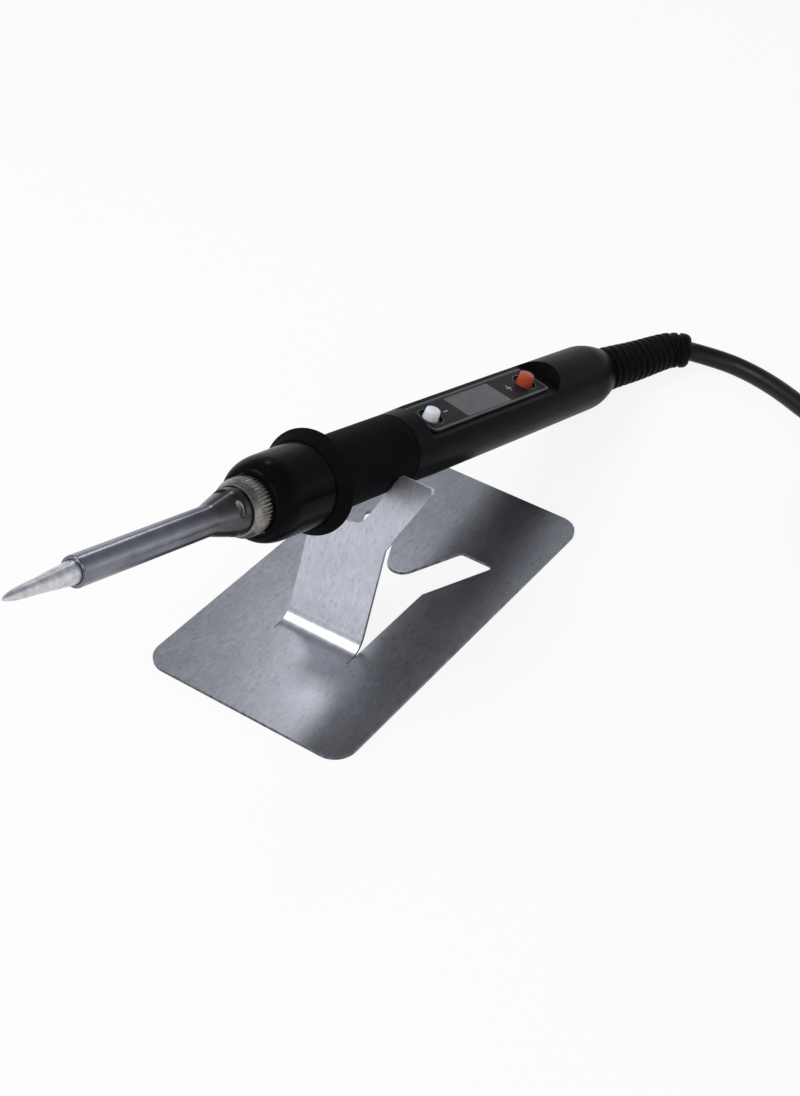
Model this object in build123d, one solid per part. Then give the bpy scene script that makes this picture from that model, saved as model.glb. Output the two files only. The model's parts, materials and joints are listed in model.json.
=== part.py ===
from build123d import *
from math import asin, atan, cos, degrees, hypot, pi, radians, sin, tan
import os

# A temperature-controlled soldering iron lying on a folded sheet-metal stand, with its mains
# cord and plug.  Millimetres.  The origin is the centre of the stand plate's underside, +Z is
# up and the iron lies along Y with its tip towards -Y.
#
# The iron's pieces are drawn in the iron's own frame, whose Y axis is the iron's axis: a
# station is the distance behind the tip's point, +Z is the panel side and +X the right side.
# "Height" there is the distance above the axis.

os.makedirs("parts", exist_ok=True)

# ---------------------------------------------------------------- driving dimensions: stand
plate_length = 116.0
plate_width = 65.0
plate_corner = 6.5
sheet = 1.0
bend_inset = 31.2  # near edge of the plate to the start of the bend
bend_radius = 6.5  # inside the bend
fork_lean = 67.0  # tongue above the plate, degrees
stem_width = 24.0
fork_reach = 54.3  # flat pattern, start of the bend to the arms' ends
notch_start = 30.5  # flat pattern, start of the bend to the point of the V
notch_angle = 50.2
notch_root = 4.6
arm_width = 9.7
arm_corner = 1.2
knee_corner = 1.0
slit_past_bend = 1.0
cut_gap = 0.25  # width of the cut between tongue and plate

# ---------------------------------------------------------------- driving dimensions: iron
rest_station = 132.0  # where the fork carries the grip
rest_gap = 0.3
roll = 10.0  # panel turned towards +X, degrees

# tip and sleeve
nose_length = 21.0  # bare cone ahead of the sleeve
tip_length = 49.0
tip_radius = 3.2
point_radius = 0.5
neck_radius = 2.75
tip_bore_depth = 24.5
sleeve_radius = 3.7
sleeve_wall = 0.4
sleeve_mouth = 2.9
sleeve_tube = 44.5
flare_length = 8.5
skirt_radius = 5.9
skirt_run = 2.0  # straight skirt between flare and nut
rim_radius = 6.5
rim_thickness = 1.0
vent_count = 4
vent_length = 4.6
vent_width = 2.0
vent_inset = 1.2  # middle of the vents ahead of the skirt

# nut and ferrule
nut_length = 8.0
nut_radius = 7.4
nut_lip = 1.15
nut_face_radius = 6.5
nut_cone = 2.2
knurl_count = 48
knurl_depth = 0.28
ferrule_flange = 3.4
ferrule_tail_radius = 5.2
ferrule_tail = 12.0
ferrule_bore = 3.6
bush_radius = 4.6
bush_length = 4.0

# heater
heater_radius = 2.0
heater_start = 25.5
heater_length = 69.0
lead_radius = 0.45

# handle
collar_start = 82.2
collar_length = 20.45
collar_bore_gap = 0.2  # round the nut
collar_face_radius = 8.0
collar_dome = 7.2
collar_front_radius = 10.9
collar_rear_radius = 11.1
grip_length = 39.3
grip_radius = 9.8
grip_wall = 1.6
grip_edge = 0.4
flange_radius = 13.7
flange_foot_radius = 11.5
flange_slope = 2.65
flange_rim = 1.6
flange_back = 3.4
handle_end = 258.8
heel_inset = 7.0  # resting point ahead of the handle's end
handle_front_radius = 9.8
handle_mid_radius = 10.1
handle_rear_radius = 10.0
handle_end_radius = 7.65
handle_tail = 11.3  # rounded length at the cord's end
swell_front = 156.0
swell_rear = 204.0
handle_wall = 1.8
end_wall = 3.0
nose_wall = 1.6
shell_front = 88.0

# panel
panel_start = 152.6
panel_length = 62.2
panel_width = 11.6
panel_corner = 1.6
panel_thickness = 0.65
panel_rim = 0.7
panel_floor = 0.3  # bezel left under the overlay
overlay_drop = 0.2  # overlay lies this much below the panel rim
flat_height = 6.5
flat_front_gap = 3.1  # bare flat ahead of the panel
flat_rear_gap = 7.7  # bare flat behind the panel, at its round end
flat_end_radius = 7.9
flat_wall = 1.8
lcd_start = 171.3
lcd_length = 23.3
lcd_width = 9.4
lcd_corner = 0.4
lcd_window_thickness = 0.5
minus_station = 158.5
plus_station = 208.95
button_hole = 3.5
minus_radius = 2.25
plus_radius = 2.4
minus_height = 2.9
plus_height = 3.3
button_taper = 0.25
button_flange = 0.5
button_lip = 0.75
button_travel = 0.5

# electronics
board_length = 76.0
board_width = 11.0
board_thickness = 1.2
board_start = 148.0
board_height = 1.25  # top face above the axis
switch_body = 4.5
switch_thickness = 1.8
plunger_radius = 1.0

# cord end of the handle
clamp_station = 240.0
clamp_length = 6.0
clamp_height = 4.0
clamp_screw_gap = 0.2  # between cord and clamp screws
screw_radius = 1.1
screw_head_radius = 2.0
screw_head = 1.4
shell_screw_stations = (164.0, 199.0, 230.0)
screw_boss_radius = 2.6

# cord, relief and plug
cord_diameter = 6.0
core_radius = 0.6
relief_root_radius = 7.0
relief_end_radius = 5.35
relief_core_share = 0.9  # groove radius over rib radius
relief_cuff = 3.4  # smooth length ahead of the first rib
relief_rib_count = 12
relief_rib = 1.7
relief_sections = 12  # circles the core is drawn through
relief_neck_radius = 4.4
relief_head_radius = 5.6
relief_head = 2.5
coil_center = (121.8, 114.0)
coil_turn_radii = (39.0, 33.0, 27.0)
tie_width = 8.0
tie_thickness = 0.6
tie_angle = 215.0
plug_x = 148.0
plug_back = 47.9  # y of the plug body's cord face
plug_width = 35.3
plug_thickness = 13.7
plug_length = 36.0
plug_nose_width = 26.0
plug_corner = 3.0
plug_edge = 1.6
pin_spacing = 18.6
pin_radius = 2.0
pin_length = 19.0
pin_core_radius = 1.2
pin_round = 1.2
pin_collar_length = 10.0
pin_socket = 8.0
plug_relief_length = 16.0
plug_relief_radius = 4.6
plug_relief_ribs = 5

# ---------------------------------------------------------------- clearances
running = 0.08  # radial, between pieces that turn or slide on each other
seat = 0.05  # between pieces assembled face to face
film_gap = 0.02  # under thin pieces glued or laid flat
button_slack = 0.08
switch_slack = 0.05  # left between plunger and cap at full travel

# ---------------------------------------------------------------- helpers


def lathe(*outline):
    """Solid of revolution about the iron's axis, from (station, radius) points."""
    wire = Polyline(*[(radius, station) for station, radius in outline], close=True)
    return revolve(make_face(wire), Axis.Y)


def turned(*edges):
    """Solid of revolution about the iron's axis, from edges in the (radius, station) plane."""
    return revolve(make_face(Curve() + list(edges)), Axis.Y)


def rod(station, length, radius, x=0.0, z=0.0):
    """Cylinder along the iron's axis."""
    return Pos(x, station, z) * (Rot(-90, 0, 0) * Cylinder(radius, length, align=(C, C, LOW)))


def block(x_size, station, length, low, high, x=0.0, corner=0.0):
    """Box on the iron's axis between two heights, with its upright corners rounded."""
    outline = RectangleRounded(x_size, length, corner) if corner else Rectangle(x_size, length)
    return extrude(Pos(x, station + length / 2, low) * outline, high - low)


def stud(radius, x, station, low, high):
    """Cylinder across the iron, square to the panel."""
    return Pos(x, station, low) * Cylinder(radius, high - low, align=(C, C, LOW))


def one(shape):
    """The shape as a plain solid, or a compound where it has several."""
    solids = shape.solids()
    return solids[0] if len(solids) == 1 else Compound(children=list(solids))


def save(name, shape, color):
    shape = one(shape)
    shape.label = name
    shape.color = Color(color)
    export_step(shape, f"parts/{name}.step")


C = Align.CENTER
LOW = Align.MIN

# ---------------------------------------------------------------- stand plate with fork


def fork_flat(start):
    """Tongue's flat pattern, with y counted from the start of the bend."""
    half_notch = radians(notch_angle / 2)
    slope = tan(half_notch)
    arm_run = arm_width / cos(half_notch)
    knee = notch_start + (stem_width / 2 - arm_run) / slope
    inner = (fork_reach - notch_start) * slope
    right = [
        (stem_width / 2, start),
        (stem_width / 2, knee),
        (inner + arm_run, fork_reach),
        (inner, fork_reach),
    ]
    left = [(-x, y) for x, y in reversed(right)]
    face = make_face(Polyline(*right, (0, notch_start), *left, close=True))
    ends = face.vertices().filter_by(lambda v: abs(v.Y - fork_reach) < 0.01)
    face = fillet(ends, arm_corner)
    knees = face.vertices().filter_by(lambda v: abs(v.Y - knee) < 0.01)
    face = fillet(knees, knee_corner)
    roots = face.vertices().filter_by(lambda v: abs(v.X) < 0.01 and abs(v.Y - notch_start) < 0.01)
    return fillet(roots, notch_root)


bend_y = bend_inset - plate_length / 2
mid_radius = bend_radius + sheet / 2
bend_run = mid_radius * radians(fork_lean)
bend_center_z = sheet + bend_radius
tongue_up = Vector(0, cos(radians(fork_lean)), sin(radians(fork_lean)))
tongue_foot = Vector(
    0,
    bend_y + mid_radius * sin(radians(fork_lean)),
    bend_center_z - mid_radius * cos(radians(fork_lean)),
)


def stand_plate():
    outline = RectangleRounded(plate_width, plate_length, plate_corner)
    opening = offset(fork_flat(-slit_past_bend), cut_gap, kind=Kind.INTERSECTION)
    root_length = slit_past_bend + cut_gap
    root = Pos(0, -root_length / 2) * Rectangle(stem_width, root_length)
    flat = outline - Pos(0, bend_y) * opening + Pos(0, bend_y) * root
    plate = extrude(flat, sheet)
    section = Plane.XZ.offset(-bend_y) * Pos(0, sheet / 2) * Rectangle(stem_width, sheet)
    bend = revolve(section, Axis((0, bend_y, bend_center_z), (1, 0, 0)), fork_lean)
    tongue_plane = Plane(
        tongue_foot - tongue_up * bend_run,
        x_dir=(1, 0, 0),
        z_dir=Vector(1, 0, 0).cross(tongue_up),
    )
    tongue = extrude(tongue_plane * fork_flat(bend_run), sheet / 2, both=True)
    return plate + bend + tongue


# ---------------------------------------------------------------- where the iron lies

cradle_radius = grip_radius + rest_gap
cradle_reach = notch_start - bend_run + cradle_radius / sin(radians(notch_angle / 2))
iron_rest = tongue_foot + tongue_up * cradle_reach
heel_station = handle_end - heel_inset
heel_drop = iron_rest.Z - rest_gap
heel_arm = hypot(heel_station - rest_station, handle_rear_radius)
slope = degrees(asin(heel_drop / heel_arm) - atan(handle_rear_radius / (heel_station - rest_station)))
iron_place = (
    Pos(iron_rest.X, iron_rest.Y, iron_rest.Z)
    * Rot(-slope, 0, 0)
    * Rot(0, roll, 0)
    * Pos(0, -rest_station, 0)
)

# ---------------------------------------------------------------- tip, sleeve and nut

nut_start = nose_length + sleeve_tube + flare_length + skirt_run
rim_start = nut_start + nut_lip + seat
rim_end = rim_start + rim_thickness
nut_end = nut_start + nut_length
ferrule_front = rim_end + seat
thread_radius = rim_radius


def soldering_tip():
    shoulder = nose_length + sleeve_wall + 0.8
    nose = Spline(
        (point_radius, 0.35),
        (1.15, 0.14 * nose_length),
        (1.75, 0.48 * nose_length),
        (2.2, 0.7 * nose_length),
        (neck_radius, nose_length),
    )
    body = turned(
        Line((0, 0), (0.25, 0)),
        Line((0.25, 0), (point_radius, 0.35)),
        nose,
        Line((neck_radius, nose_length), (neck_radius, shoulder)),
        Line((neck_radius, shoulder), (tip_radius, shoulder)),
        Line((tip_radius, shoulder), (tip_radius, tip_length)),
        Line((tip_radius, tip_length), (0, tip_length)),
        Line((0, tip_length), (0, 0)),
    )
    bore = heater_radius + running
    hollow = lathe(
        (tip_bore_depth, 0),
        (tip_bore_depth + 1.2, bore),
        (tip_length + 1, bore),
        (tip_length + 1, 0),
    )
    return body - hollow


def tip_sleeve():
    mouth = nose_length
    flare = mouth + sleeve_tube
    skirt = flare + flare_length
    inner_tube = sleeve_radius - sleeve_wall
    inner_skirt = skirt_radius - sleeve_wall
    shell = turned(
        Line((sleeve_mouth, mouth), (sleeve_radius - 0.35, mouth)),
        ThreePointArc(
            (sleeve_radius - 0.35, mouth),
            (sleeve_radius - 0.1, mouth + 0.1),
            (sleeve_radius, mouth + 0.35),
        ),
        Line((sleeve_radius, mouth + 0.35), (sleeve_radius, flare)),
        Line((sleeve_radius, flare), (skirt_radius, skirt)),
        Line((skirt_radius, skirt), (skirt_radius, rim_start)),
        Line((skirt_radius, rim_start), (rim_radius, rim_start)),
        Line((rim_radius, rim_start), (rim_radius, rim_end)),
        Line((rim_radius, rim_end), (inner_skirt, rim_end)),
        Line((inner_skirt, rim_end), (inner_skirt, skirt)),
        Line((inner_skirt, skirt), (inner_tube, flare)),
        Line((inner_tube, flare), (inner_tube, mouth + sleeve_wall + 0.3)),
        Line((inner_tube, mouth + sleeve_wall + 0.3), (sleeve_mouth, mouth + sleeve_wall)),
        Line((sleeve_mouth, mouth + sleeve_wall), (sleeve_mouth, mouth)),
    )
    vent = extrude(SlotOverall(vent_length, vent_width), 2 * skirt_radius)
    for index in range(vent_count):
        angle = 45 + index * 360 / vent_count
        shell -= Rot(0, angle, 0) * Pos(0, skirt - vent_inset, 0) * vent
    return shell


def sleeve_nut():
    knurl = []
    for index in range(knurl_count):
        for share, depth in ((0.0, 0.0), (0.35, 0.0), (0.68, knurl_depth)):
            angle = 2 * pi * (index + share) / knurl_count
            knurl.append(((nut_radius - depth) * cos(angle), (nut_radius - depth) * sin(angle)))
    outline = make_face(Polyline(*knurl, close=True))
    ring = Pos(0, nut_start, 0) * Rot(-90, 0, 0) * extrude(outline, nut_length)
    blank = lathe(
        (nut_start, 0),
        (nut_start, nut_face_radius),
        (nut_start + nut_cone, nut_radius),
        (nut_end - 0.3, nut_radius),
        (nut_end, nut_radius - 0.3),
        (nut_end, 0),
    )
    bore = lathe(
        (nut_start - 1, 0),
        (nut_start - 1, skirt_radius + running),
        (nut_start + nut_lip, skirt_radius + running),
        (nut_start + nut_lip, thread_radius + running),
        (nut_end + 1, thread_radius + running),
        (nut_end + 1, 0),
    )
    return ring & blank - bore


# ---------------------------------------------------------------- ferrule, bush and heater

flange_front = nut_end + 0.4
flange_rear = flange_front + ferrule_flange
collar_end = collar_start + collar_length


def ferrule():
    return lathe(
        (ferrule_front, ferrule_bore),
        (ferrule_front, thread_radius - 0.3),
        (ferrule_front + 0.3, thread_radius),
        (nut_end, thread_radius),
        (nut_end, thread_radius - 0.4),
        (flange_front, thread_radius - 0.4),
        (flange_front, nose_radius),
        (flange_rear - seat, nose_radius),
        (flange_rear - seat, ferrule_tail_radius),
        (flange_rear + ferrule_tail, ferrule_tail_radius),
        (flange_rear + ferrule_tail, ferrule_bore),
        (ferrule_front + bush_length, ferrule_bore),
        (ferrule_front + bush_length, bush_radius + seat),
        (ferrule_front, bush_radius + seat),
    )


def heater_bush():
    return lathe(
        (ferrule_front - 1.2, heater_radius + seat),
        (ferrule_front - 1.2, bush_radius - 0.6),
        (ferrule_front - 0.4, bush_radius),
        (ferrule_front + bush_length - seat, bush_radius),
        (ferrule_front + bush_length - seat, heater_radius + seat),
    )


def ceramic_heater():
    body = rod(heater_start, heater_length, heater_radius)
    return body - lathe(
        (heater_start, heater_radius),
        (heater_start, heater_radius + 1),
        (heater_start - 1, heater_radius + 1),
        (heater_start - 1, heater_radius - 1),
        (heater_start, heater_radius - 0.5),
        (heater_start + 0.5, heater_radius),
    )


def heater_leads():
    """Four leads from the heater's rear end to the front of the board."""
    start = heater_start + heater_length
    low = board_height + lead_radius
    group = []
    for side in (-1, 1):
        for level, spread in ((-1, 1.1), (1, 3.3)):
            points = [
                (0.6 * side, start + seat, 0.6 * level),
                (0.6 * side, start + 4, 0.6 * level),
                (spread * side, start + 34, low + 0.6),
                (spread * side, board_start + 3, low + 0.02),
            ]
            path = FilletPolyline(*points, radius=3.0)
            group.append(one(sweep(Plane(points[0], z_dir=path % 0) * Circle(lead_radius), path)))
    return Compound(children=group)


# ---------------------------------------------------------------- collar and grip

nose_radius = grip_radius - grip_wall - seat
grip_start = collar_end + seat
grip_end = grip_start + grip_length


def front_collar():
    inner = nose_radius + seat
    nut_bore = nut_radius + collar_bore_gap
    dome_end = collar_start + collar_dome
    step = flange_front - seat
    return turned(
        Line((nut_bore, collar_start), (collar_face_radius, collar_start)),
        Bezier(
            (collar_face_radius, collar_start),
            (collar_face_radius + 0.5 * (collar_front_radius - collar_face_radius), collar_start),
            (collar_front_radius, dome_end - 0.55 * collar_dome),
            (collar_front_radius, dome_end),
        ),
        Line((collar_front_radius, dome_end), (collar_rear_radius, collar_end)),
        Line((collar_rear_radius, collar_end), (inner, collar_end)),
        Line((inner, collar_end), (inner, step)),
        Line((inner, step), (nut_bore, step)),
        Line((nut_bore, step), (nut_bore, collar_start)),
    )


def grip_sleeve():
    """Rubber grip with a thin round guard at its front."""
    inner = nose_radius + seat
    rim = grip_start + flange_slope
    back = rim + flange_rim
    foot = back + flange_back
    shoulder = flange_radius - 0.45 * flange_rim / 2 - 0.15
    return turned(
        Line((inner, grip_start), (flange_foot_radius, grip_start)),
        Line((flange_foot_radius, grip_start), (shoulder, rim)),
        ThreePointArc((shoulder, rim), (flange_radius, (rim + back) / 2), (shoulder, back)),
        Bezier(
            (shoulder, back),
            (grip_radius + 0.35 * (shoulder - grip_radius), back + 0.1 * flange_back),
            (grip_radius, foot - 0.5 * flange_back),
            (grip_radius, foot),
        ),
        Line((grip_radius, foot), (grip_radius, grip_end - grip_edge)),
        Line((grip_radius, grip_end - grip_edge), (grip_radius - grip_edge, grip_end)),
        Line((grip_radius - grip_edge, grip_end), (inner, grip_end)),
        Line((inner, grip_end), (inner, grip_start)),
    )


# ---------------------------------------------------------------- handle shells

body_start = grip_end + seat
screw_seat_low = -handle_rear_radius + handle_wall + 1.2
screw_end = -0.8
cord_radius = cord_diameter / 2
board_low = board_height - board_thickness
clamp_middle = clamp_station + clamp_length / 2
clamp_screw_x = cord_radius + screw_radius + clamp_screw_gap
clamp_span = 2 * (clamp_screw_x + screw_head_radius)
clamp_screw_low = -5.5
cavity_radius = handle_mid_radius - handle_wall
nose_bore = nose_radius - nose_wall
tail_start = handle_end - handle_tail


def handle_outside():
    return turned(
        Line((0, shell_front), (nose_radius, shell_front)),
        Line((nose_radius, shell_front), (nose_radius, body_start)),
        Line((nose_radius, body_start), (handle_front_radius - 0.4, body_start)),
        Line((handle_front_radius - 0.4, body_start), (handle_front_radius, body_start + 0.4)),
        Line((handle_front_radius, body_start + 0.4), (handle_mid_radius, swell_front)),
        Line((handle_mid_radius, swell_front), (handle_mid_radius, swell_rear)),
        Line((handle_mid_radius, swell_rear), (handle_rear_radius, tail_start)),
        Bezier(
            (handle_rear_radius, tail_start),
            (handle_rear_radius, heel_station),
            (handle_end_radius, handle_end),
        ),
        Line((handle_end_radius, handle_end), (0, handle_end)),
        Line((0, handle_end), (0, shell_front)),
    )


def handle_hollow():
    step = body_start + 3.0
    return lathe(
        (shell_front - 1, 0),
        (shell_front - 1, nose_bore),
        (step, nose_bore),
        (step + 2.0, cavity_radius),
        (tail_start - 1.0, cavity_radius),
        (handle_end - end_wall, handle_end_radius - 0.6),
        (handle_end - end_wall, relief_neck_radius + seat),
        (handle_end + 1, relief_neck_radius + seat),
        (handle_end + 1, 0),
    )


panel_end = panel_start + panel_length
button_stations = (minus_station, plus_station)


def flat_cut():
    """Everything above the flat that carries the panel, with a round rear end."""
    front = panel_start - flat_front_gap
    center = panel_end + flat_rear_gap - flat_end_radius
    plan = Pos(0, (front + center) / 2) * Rectangle(4 * handle_mid_radius, center - front)
    plan += Pos(0, center) * Circle(flat_end_radius)
    return extrude(Pos(0, 0, flat_height) * plan, 2 * handle_mid_radius)


def upper_shell():
    hollow = handle_hollow()
    span = panel_length + flat_front_gap + flat_rear_gap + 2 * flat_wall
    under_flat = block(
        4 * handle_mid_radius,
        panel_start - flat_front_gap - flat_wall,
        span,
        flat_height - flat_wall,
        2 * handle_mid_radius,
    )
    shell = handle_outside() - (hollow - under_flat)
    shell &= block(60, shell_front - 1, handle_end - shell_front + 2, 0, 30)
    shell -= flat_cut()
    shell -= block(
        lcd_width + 0.4, lcd_start - 0.2, lcd_length + 0.4, 0, 2 * handle_mid_radius, corner=0.3
    )
    for station, radius in zip(button_stations, (minus_radius, plus_radius)):
        shell -= stud(radius + button_slack, 0, station, 0, 2 * handle_mid_radius)
    return shell


def shell_bosses():
    """Screw bosses, board rests and cord cradle, all below the parting plane."""
    deep = -2 * handle_mid_radius
    bosses = Part()
    for station in shell_screw_stations:
        bosses += stud(screw_boss_radius, 0, station, deep, 0)
    for station in (board_start + 4, board_start + board_length - 6):
        bosses += block(board_width - 2, station, 1.6, deep, 0)
    cradle = block(clamp_span, clamp_station, clamp_length, deep, 0, corner=1.0)
    return bosses + cradle - rod(clamp_station - 1, clamp_length + 2, cord_radius)


def lower_shell():
    shell = handle_outside() - (handle_hollow() - shell_bosses())
    shell &= block(60, shell_front - 1, handle_end - shell_front + 2, -30, 0)
    for station in shell_screw_stations:
        shell -= stud(screw_head_radius + 0.15, 0, station, -30, screw_seat_low)
        shell -= stud(screw_radius + seat, 0, station, -30, screw_end)
    for side in (-1, 1):
        shell -= stud(screw_radius + seat, side * clamp_screw_x, clamp_middle, clamp_screw_low, 30)
    return shell


def shell_screws():
    """Self-tapping screws that hold the two shells together, from below."""
    group = []
    head_top = screw_seat_low - seat
    head_low = head_top - screw_head
    for station in shell_screw_stations:
        shank = stud(screw_radius, 0, station, head_top, screw_end - 0.2)
        head = stud(screw_head_radius, 0, station, head_low, head_top)
        cross = Box(2.4, 0.6, 1.2) + Box(0.6, 2.4, 1.2)
        group.append(one(shank + head - Pos(0, station, head_low) * cross))
    return Compound(children=group)


# ---------------------------------------------------------------- panel, display and buttons

rim_top = flat_height + panel_thickness
overlay_top = rim_top - overlay_drop


def panel_holes(low, high):
    holes = Part()
    for station in button_stations:
        holes += stud(button_hole, 0, station, low, high)
    return holes


def panel_bezel():
    low = flat_height + seat
    bezel = block(panel_width, panel_start, panel_length, low, rim_top, corner=panel_corner)
    bezel -= block(
        panel_width - 2 * panel_rim,
        panel_start + panel_rim,
        panel_length - 2 * panel_rim,
        low + panel_floor,
        rim_top + 1,
        corner=panel_corner - panel_rim / 2,
    )
    bezel -= block(lcd_width, lcd_start, lcd_length, 0, rim_top + 1, corner=lcd_corner)
    return bezel - panel_holes(0, rim_top + 1)


def panel_overlay():
    inset = panel_rim + seat
    sheet_low = flat_height + seat + panel_floor + film_gap
    overlay = block(
        panel_width - 2 * inset,
        panel_start + inset,
        panel_length - 2 * inset,
        sheet_low,
        overlay_top,
        corner=panel_corner - panel_rim / 2 - 0.1,
    )
    overlay -= block(lcd_width, lcd_start, lcd_length, 0, rim_top + 1, corner=lcd_corner)
    return overlay - panel_holes(0, rim_top + 1)


window_low = overlay_top - lcd_window_thickness


def lcd_window():
    width = lcd_width - 2 * seat
    length = lcd_length - 2 * seat
    return block(width, lcd_start + seat, length, window_low, overlay_top, corner=lcd_corner - seat)


def lcd_module():
    """Display glass on its backlight frame, standing on the board."""
    frame_top = window_low - 1.6
    low = board_height + film_gap
    base = block(lcd_width - 0.4, lcd_start + 0.4, lcd_length - 0.8, low, frame_top, corner=0.3)
    glass = block(lcd_width - 0.8, lcd_start + 0.8, lcd_length - 1.6, frame_top, window_low - film_gap)
    return base + glass


def circuit_board():
    board = block(board_width, board_start, board_length, board_low, board_height, corner=0.8)
    for station in shell_screw_stations[:2]:
        board -= stud(0.6, 0, station, board_low - 1, board_height + 1)
    return board


def board_parts():
    """Triac, regulator, capacitors and resistors on the board."""
    top = board_height
    group = [
        block(6.5, 218.5, 4.2, top, top + 2.2, corner=0.3),
        block(3.2, 197.5, 5.0, top, top + 1.4, x=2.6, corner=0.2),
        block(1.6, 203.0, 1.6, top, top + 0.7, x=4.2),
        block(1.6, 203.0, 1.6, top, top + 0.7, x=-4.2),
        block(1.6, 164.5, 1.6, top, top + 0.7, x=3.6),
        block(1.6, 164.5, 1.6, top, top + 0.7, x=-3.6),
    ]
    group.append(stud(2.4, -2.4, 199.8, top, top + 2.6))
    return Compound(children=[one(part) for part in group])


flange_top = flat_height - flat_wall - seat
plunger_top = flange_top - button_flange - button_travel - switch_slack


def tact_switches():
    group = []
    for station in button_stations:
        top = board_height + switch_thickness
        body = block(switch_body, station - switch_body / 2, switch_body, board_height, top)
        body += stud(plunger_radius, 0, station, board_height, plunger_top)
        group.append(one(body))
    return Compound(children=group)


def button(station, radius, height):
    """Domed cap with a flange that holds it under the flat."""
    top = flat_height + height
    low = flange_top - button_flange
    edge = radius - button_taper
    section = Polyline((0, top + 0.12), (0, low), (radius, low), (radius, flat_height), (edge, top - 0.35))
    section += ThreePointArc((edge, top - 0.35), (edge - 0.22, top - 0.1), (radius - 0.95, top))
    section += Line((radius - 0.95, top), (0, top + 0.12))
    cap = Pos(0, station, 0) * revolve(make_face(section).rotate(Axis.X, 90), Axis.Z)
    return cap + stud(radius + button_lip, 0, station, low, flange_top)


# ---------------------------------------------------------------- cord end inside the handle


def cord_clamp():
    """Saddle that presses the sheath into the cradle."""
    bar = block(clamp_span, clamp_station, clamp_length, seat, clamp_height, corner=1.0)
    bar -= rod(clamp_station - 1, clamp_length + 2, cord_radius)
    for side in (-1, 1):
        bar -= stud(screw_radius + seat, side * clamp_screw_x, clamp_middle, -1, 20)
    return bar


def clamp_screws():
    group = []
    top = clamp_height + film_gap
    for side in (-1, 1):
        x = side * clamp_screw_x
        screw = stud(screw_radius, x, clamp_middle, clamp_screw_low + 0.2, top)
        screw += stud(screw_head_radius - 0.1, x, clamp_middle, top, top + 1.1)
        screw -= Pos(x, clamp_middle, top + 1.1) * Box(2.2, 0.5, 1.0)
        group.append(one(screw))
    return Compound(children=group)


sheath_start = clamp_station - 2.0


def cord_sheath_end():
    """End of the cord's sheath, from the relief to just past the clamp."""
    length = handle_end - end_wall - relief_head - seat - sheath_start
    return rod(sheath_start, length, cord_radius - seat)


def cord_cores():
    """Live, neutral and earth from the sheath to the rear of the board."""
    group = []
    board_end = board_start + board_length
    low = board_height + core_radius + film_gap
    for index, height in enumerate((0.6, -0.9, 0.6)):
        x = (index - 1) * 1.25
        points = [
            (x, sheath_start - seat, height),
            (x, sheath_start - 2.0, height),
            (x * 1.6, sheath_start - 5.0, height * 0.3 + 1.6),
            (x * 2.2, board_end + 4.0, low + 0.9),
            (x * 2.4, board_end - 1.2, low),
        ]
        path = FilletPolyline(*points, radius=1.2)
        group.append(one(sweep(Plane(points[0], z_dir=path % 0) * Circle(core_radius), path)))
    return Compound(children=group)


# ---------------------------------------------------------------- strain relief and cord

exit_point = (iron_place * Pos(0, handle_end, 0)).position
cord_begin = Vector(16.4, 148.6, 5.6)
cord_heading = Vector(9.6, 4.3, -1.8)
relief_route = [
    tuple(exit_point),
    tuple(exit_point + Vector(1.9, 3.9, 0.1)),
    tuple(exit_point + Vector(6.0, 12.8, -0.7)),
    (9.7, 140.9, 6.3),
    (12.2, 146.2, 5.9),
    tuple(cord_begin + 0.2 * cord_heading),
]
cord_lead_route = [
    tuple(cord_begin),
    tuple(cord_begin + cord_heading),
    (37.2, 153.0, 3.05),
    (49.2, 149.6, 3.05),
    (61.8, 143.9, 3.05),
    (74.0, 140.6, 3.05),
    (86.6, 141.4, 3.05),
    (98.6, 146.1, 3.05),
]


def rounded_radii(points):
    """Corner radii of a free cord: 0.45 of the shorter run over the tangent of half the turn."""
    radii = []
    for before, corner, after in zip(points, points[1:], points[2:]):
        into = Vector(*corner) - Vector(*before)
        out = Vector(*after) - Vector(*corner)
        half_turn = radians(into.get_angle(out) / 2)
        radii.append(0.45 * min(into.length, out.length) / tan(half_turn))
    return radii


def route_path(points):
    return FilletPolyline(*points, radius=rounded_radii(points))


def tube(points, diameter):
    path = route_path(points)
    return sweep(Plane(points[0], z_dir=path % 0) * Circle(diameter / 2), path)


def strain_relief():
    """Tapered ribbed sleeve moulded on the cord, with a neck and head held by the handle."""
    path = route_path(relief_route)
    cuff = relief_cuff / path.length
    pitch = (1 - cuff) / relief_rib_count

    def section(share, scale):
        radius = relief_root_radius + (relief_end_radius - relief_root_radius) * share
        return Plane(path @ share, z_dir=path % share) * Circle(radius * scale)

    beyond = Cylinder(2 * relief_root_radius, 20, align=(C, C, LOW))
    core = [section(index / relief_sections, relief_core_share) for index in range(relief_sections + 1)]
    body = loft(core)
    for index in range(relief_rib_count):
        rib = section(cuff + (index + 0.5) * pitch, 1.0)
        body += extrude(rib, relief_rib / 2, both=True)
    body -= iron_place * rod(handle_end + seat - 10, 10, 2 * relief_root_radius)
    body -= Plane(cord_begin - seat * cord_heading.normalized(), z_dir=cord_heading) * beyond
    head_start = handle_end - end_wall - relief_head - seat
    body += iron_place * rod(handle_end + seat, relief_cuff - relief_rib, relief_root_radius)
    body += iron_place * rod(head_start, handle_end + 1.0 - head_start, relief_neck_radius)
    return body + iron_place * rod(head_start, relief_head, relief_head_radius)


# ---------------------------------------------------------------- coil, tie, tail and plug

turn_count = len(coil_turn_radii)
coil_outer = max(coil_turn_radii) + cord_radius + 0.2
coil_inner = min(coil_turn_radii) - cord_radius - 0.2
coil_height = 2 * cord_diameter + 0.4
coil_corner = 2.2
coil_join_angle = 110.0
coil_leave_angle = -30.0


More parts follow.
